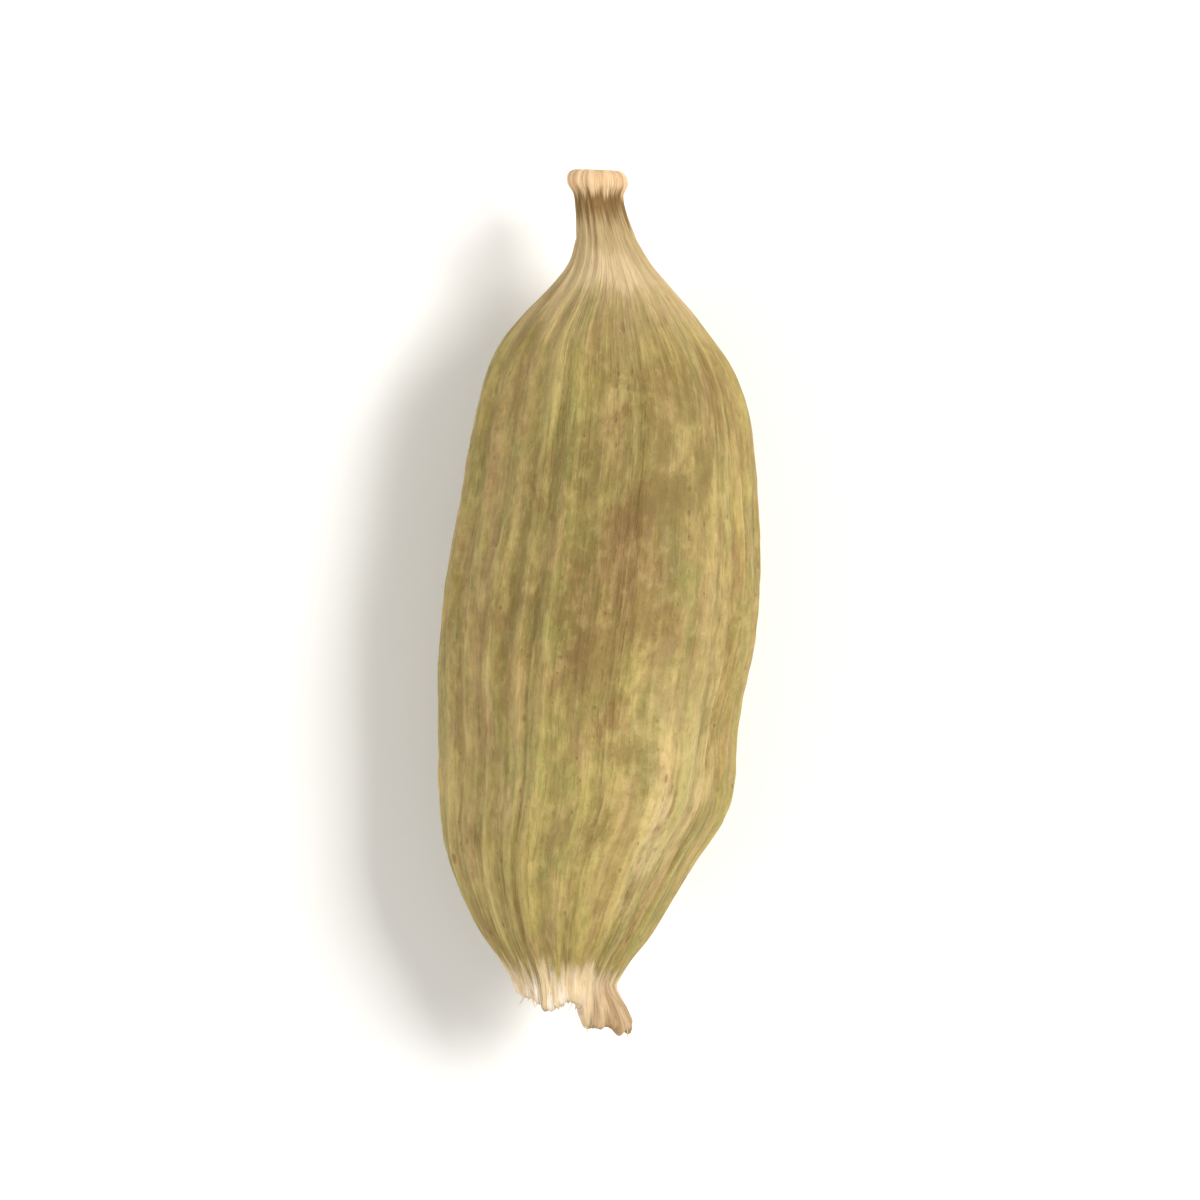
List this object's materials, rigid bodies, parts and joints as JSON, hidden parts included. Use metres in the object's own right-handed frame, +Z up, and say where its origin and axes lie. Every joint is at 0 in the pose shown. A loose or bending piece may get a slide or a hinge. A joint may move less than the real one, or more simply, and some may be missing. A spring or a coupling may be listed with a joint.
{
  "type": "green cardamom pod",
  "caption": "Dried green cardamom pod, whole: a ribbed, softly three-sided husk with a thin beak at one end and the torn collar of its stalk at the other, lying on its side.",
  "frame": {"origin": "on the surface that the pod rests on, under the middle of its box", "axes": "+X along the pod from the stalk end to the beak, +Z up from the surface it lies on"},
  "size_m": [0.0176, 0.0066, 0.0058],
  "materials": {
    "husk": "dry plant fibre, pale olive green going to straw and light brown, matte with a faint satin on the ribs"
  },
  "bodies": {
    "root": {"pod": "husk"}
  },
  "joints": []
}
